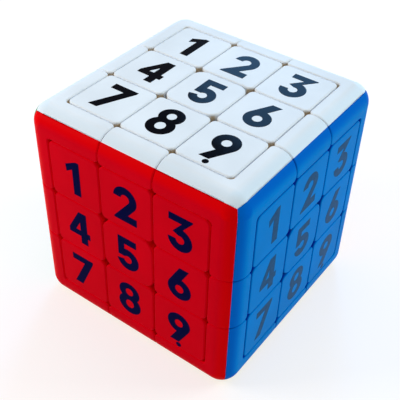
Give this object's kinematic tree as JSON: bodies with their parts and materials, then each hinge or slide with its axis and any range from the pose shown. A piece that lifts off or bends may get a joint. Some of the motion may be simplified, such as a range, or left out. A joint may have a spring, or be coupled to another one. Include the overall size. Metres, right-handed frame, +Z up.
{
  "type": "magnetic number puzzle cube",
  "caption": "Magnetic puzzle cube with coloured faces, framed number tiles and layers that turn about a sprung core.",
  "frame": {"origin": "middle of the cube, where the six turning axes meet", "axes": "+Z up through the white face, -Y out of the red front face, +X out of the blue right face"},
  "size_m": [0.057, 0.057, 0.057],
  "materials": {
    "white_plastic": "gloss",
    "red_plastic": "gloss",
    "blue_plastic": "gloss",
    "orange_plastic": "gloss",
    "green_plastic": "gloss",
    "yellow_plastic": "gloss",
    "core_plastic": "satin",
    "screw_steel": "polished",
    "spring_steel": "polished",
    "magnet_nickel": "polished",
    "number_ink": "gloss"
  },
  "bodies": {
    "core": {"core": "core_plastic", "axle_screws": "screw_steel", "spring_washers": "screw_steel", "tension_springs": "spring_steel"},
    "top_centre": {"white_centre_5": "white_plastic"},
    "bottom_centre": {"yellow_centre_5": "yellow_plastic"},
    "front_centre": {"red_centre_5": "red_plastic"},
    "back_centre": {"orange_centre_5": "orange_plastic"},
    "right_centre": {"blue_centre_5": "blue_plastic"},
    "left_centre": {"green_centre_5": "green_plastic"},
    "top_front_edge": {"white_edge_8": "white_plastic", "red_edge_2": "red_plastic"},
    "top_back_edge": {"white_edge_2": "white_plastic", "orange_edge_2": "orange_plastic"},
    "bottom_front_edge": {"red_edge_8": "red_plastic", "yellow_edge_2": "yellow_plastic"},
    "bottom_back_edge": {"orange_edge_8": "orange_plastic", "yellow_edge_8": "yellow_plastic"},
    "top_right_edge": {"white_edge_6": "white_plastic", "blue_edge_2": "blue_plastic"},
    "bottom_right_edge": {"blue_edge_8": "blue_plastic", "yellow_edge_6": "yellow_plastic"},
    "top_left_edge": {"white_edge_4": "white_plastic", "green_edge_2": "green_plastic"},
    "bottom_left_edge": {"green_edge_8": "green_plastic", "yellow_edge_4": "yellow_plastic"},
    "front_right_edge": {"red_edge_6": "red_plastic", "blue_edge_4": "blue_plastic"},
    "front_left_edge": {"red_edge_4": "red_plastic", "green_edge_6": "green_plastic"},
    "back_right_edge": {"blue_edge_6": "blue_plastic", "orange_edge_4": "orange_plastic"},
    "back_left_edge": {"orange_edge_6": "orange_plastic", "green_edge_4": "green_plastic"},
    "top_front_right_corner": {"white_corner_9": "white_plastic", "red_corner_3": "red_plastic", "blue_corner_1": "blue_plastic"},
    "top_front_left_corner": {"white_corner_7": "white_plastic", "red_corner_1": "red_plastic", "green_corner_3": "green_plastic"},
    "top_back_right_corner": {"white_corner_3": "white_plastic", "blue_corner_3": "blue_plastic", "orange_corner_1": "orange_plastic"},
    "top_back_left_corner": {"white_corner_1": "white_plastic", "orange_corner_3": "orange_plastic", "green_corner_1": "green_plastic"},
    "bottom_front_right_corner": {"red_corner_9": "red_plastic", "blue_corner_7": "blue_plastic", "yellow_corner_3": "yellow_plastic"},
    "bottom_front_left_corner": {"red_corner_7": "red_plastic", "green_corner_9": "green_plastic", "yellow_corner_1": "yellow_plastic"},
    "bottom_back_right_corner": {"blue_corner_9": "blue_plastic", "orange_corner_7": "orange_plastic", "yellow_corner_9": "yellow_plastic"},
    "bottom_back_left_corner": {"orange_corner_9": "orange_plastic", "green_corner_7": "green_plastic", "yellow_corner_7": "yellow_plastic"}
  },
  "joints": [
    {"name": "turn_top", "type": "hinge", "parent": "core", "child": "top_centre", "pos_m": [0, 0, 0], "axis": [0, 0, 1], "continuous": true},
    {"name": "turn_bottom", "type": "hinge", "parent": "core", "child": "bottom_centre", "pos_m": [0, 0, 0], "axis": [0, 0, -1], "continuous": true},
    {"name": "turn_front", "type": "hinge", "parent": "core", "child": "front_centre", "pos_m": [0, 0, 0], "axis": [0, -1, 0], "continuous": true},
    {"name": "turn_back", "type": "hinge", "parent": "core", "child": "back_centre", "pos_m": [0, 0, 0], "axis": [0, 1, 0], "continuous": true},
    {"name": "turn_right", "type": "hinge", "parent": "core", "child": "right_centre", "pos_m": [0, 0, 0], "axis": [1, 0, 0], "continuous": true},
    {"name": "turn_left", "type": "hinge", "parent": "core", "child": "left_centre", "pos_m": [0, 0, 0], "axis": [-1, 0, 0], "continuous": true},
    {"name": "turn_front_on_top_front_edge", "type": "hinge", "parent": "top_centre", "child": "top_front_edge", "pos_m": [0, 0, 0], "axis": [0, -1, 0], "continuous": true},
    {"name": "turn_back_on_top_back_edge", "type": "hinge", "parent": "top_centre", "child": "top_back_edge", "pos_m": [0, 0, 0], "axis": [0, 1, 0], "continuous": true},
    {"name": "turn_front_on_bottom_front_edge", "type": "hinge", "parent": "bottom_centre", "child": "bottom_front_edge", "pos_m": [0, 0, 0], "axis": [0, -1, 0], "continuous": true},
    {"name": "turn_back_on_bottom_back_edge", "type": "hinge", "parent": "bottom_centre", "child": "bottom_back_edge", "pos_m": [0, 0, 0], "axis": [0, 1, 0], "continuous": true},
    {"name": "turn_top_on_top_right_edge", "type": "hinge", "parent": "right_centre", "child": "top_right_edge", "pos_m": [0, 0, 0], "axis": [0, 0, 1], "continuous": true},
    {"name": "turn_bottom_on_bottom_right_edge", "type": "hinge", "parent": "right_centre", "child": "bottom_right_edge", "pos_m": [0, 0, 0], "axis": [0, 0, -1], "continuous": true},
    {"name": "turn_top_on_top_left_edge", "type": "hinge", "parent": "left_centre", "child": "top_left_edge", "pos_m": [0, 0, 0], "axis": [0, 0, 1], "continuous": true},
    {"name": "turn_bottom_on_bottom_left_edge", "type": "hinge", "parent": "left_centre", "child": "bottom_left_edge", "pos_m": [0, 0, 0], "axis": [0, 0, -1], "continuous": true},
    {"name": "turn_right_on_front_right_edge", "type": "hinge", "parent": "front_centre", "child": "front_right_edge", "pos_m": [0, 0, 0], "axis": [1, 0, 0], "continuous": true},
    {"name": "turn_left_on_front_left_edge", "type": "hinge", "parent": "front_centre", "child": "front_left_edge", "pos_m": [0, 0, 0], "axis": [-1, 0, 0], "continuous": true},
    {"name": "turn_right_on_back_right_edge", "type": "hinge", "parent": "back_centre", "child": "back_right_edge", "pos_m": [0, 0, 0], "axis": [1, 0, 0], "continuous": true},
    {"name": "turn_left_on_back_left_edge", "type": "hinge", "parent": "back_centre", "child": "back_left_edge", "pos_m": [0, 0, 0], "axis": [-1, 0, 0], "continuous": true},
    {"name": "turn_right_on_top_front_right_corner", "type": "hinge", "parent": "top_front_edge", "child": "top_front_right_corner", "pos_m": [0, 0, 0], "axis": [1, 0, 0], "continuous": true},
    {"name": "turn_left_on_top_front_left_corner", "type": "hinge", "parent": "top_front_edge", "child": "top_front_left_corner", "pos_m": [0, 0, 0], "axis": [-1, 0, 0], "continuous": true},
    {"name": "turn_right_on_top_back_right_corner", "type": "hinge", "parent": "top_back_edge", "child": "top_back_right_corner", "pos_m": [0, 0, 0], "axis": [1, 0, 0], "continuous": true},
    {"name": "turn_left_on_top_back_left_corner", "type": "hinge", "parent": "top_back_edge", "child": "top_back_left_corner", "pos_m": [0, 0, 0], "axis": [-1, 0, 0], "continuous": true},
    {"name": "turn_right_on_bottom_front_right_corner", "type": "hinge", "parent": "bottom_front_edge", "child": "bottom_front_right_corner", "pos_m": [0, 0, 0], "axis": [1, 0, 0], "continuous": true},
    {"name": "turn_left_on_bottom_front_left_corner", "type": "hinge", "parent": "bottom_front_edge", "child": "bottom_front_left_corner", "pos_m": [0, 0, 0], "axis": [-1, 0, 0], "continuous": true},
    {"name": "turn_right_on_bottom_back_right_corner", "type": "hinge", "parent": "bottom_back_edge", "child": "bottom_back_right_corner", "pos_m": [0, 0, 0], "axis": [1, 0, 0], "continuous": true},
    {"name": "turn_left_on_bottom_back_left_corner", "type": "hinge", "parent": "bottom_back_edge", "child": "bottom_back_left_corner", "pos_m": [0, 0, 0], "axis": [-1, 0, 0], "continuous": true}
  ],
  "couplings": [
    {"joint": "turn_front_on_top_front_edge", "follows": "turn_front", "ratio": 1},
    {"joint": "turn_back_on_top_back_edge", "follows": "turn_back", "ratio": 1},
    {"joint": "turn_front_on_bottom_front_edge", "follows": "turn_front", "ratio": 1},
    {"joint": "turn_back_on_bottom_back_edge", "follows": "turn_back", "ratio": 1},
    {"joint": "turn_top_on_top_right_edge", "follows": "turn_top", "ratio": 1},
    {"joint": "turn_bottom_on_bottom_right_edge", "follows": "turn_bottom", "ratio": 1},
    {"joint": "turn_top_on_top_left_edge", "follows": "turn_top", "ratio": 1},
    {"joint": "turn_bottom_on_bottom_left_edge", "follows": "turn_bottom", "ratio": 1},
    {"joint": "turn_right_on_front_right_edge", "follows": "turn_right", "ratio": 1},
    {"joint": "turn_left_on_front_left_edge", "follows": "turn_left", "ratio": 1},
    {"joint": "turn_right_on_back_right_edge", "follows": "turn_right", "ratio": 1},
    {"joint": "turn_left_on_back_left_edge", "follows": "turn_left", "ratio": 1},
    {"joint": "turn_right_on_top_front_right_corner", "follows": "turn_right", "ratio": 1},
    {"joint": "turn_left_on_top_front_left_corner", "follows": "turn_left", "ratio": 1},
    {"joint": "turn_right_on_top_back_right_corner", "follows": "turn_right", "ratio": 1},
    {"joint": "turn_left_on_top_back_left_corner", "follows": "turn_left", "ratio": 1},
    {"joint": "turn_right_on_bottom_front_right_corner", "follows": "turn_right", "ratio": 1},
    {"joint": "turn_left_on_bottom_front_left_corner", "follows": "turn_left", "ratio": 1},
    {"joint": "turn_right_on_bottom_back_right_corner", "follows": "turn_right", "ratio": 1},
    {"joint": "turn_left_on_bottom_back_left_corner", "follows": "turn_left", "ratio": 1}
  ]
}
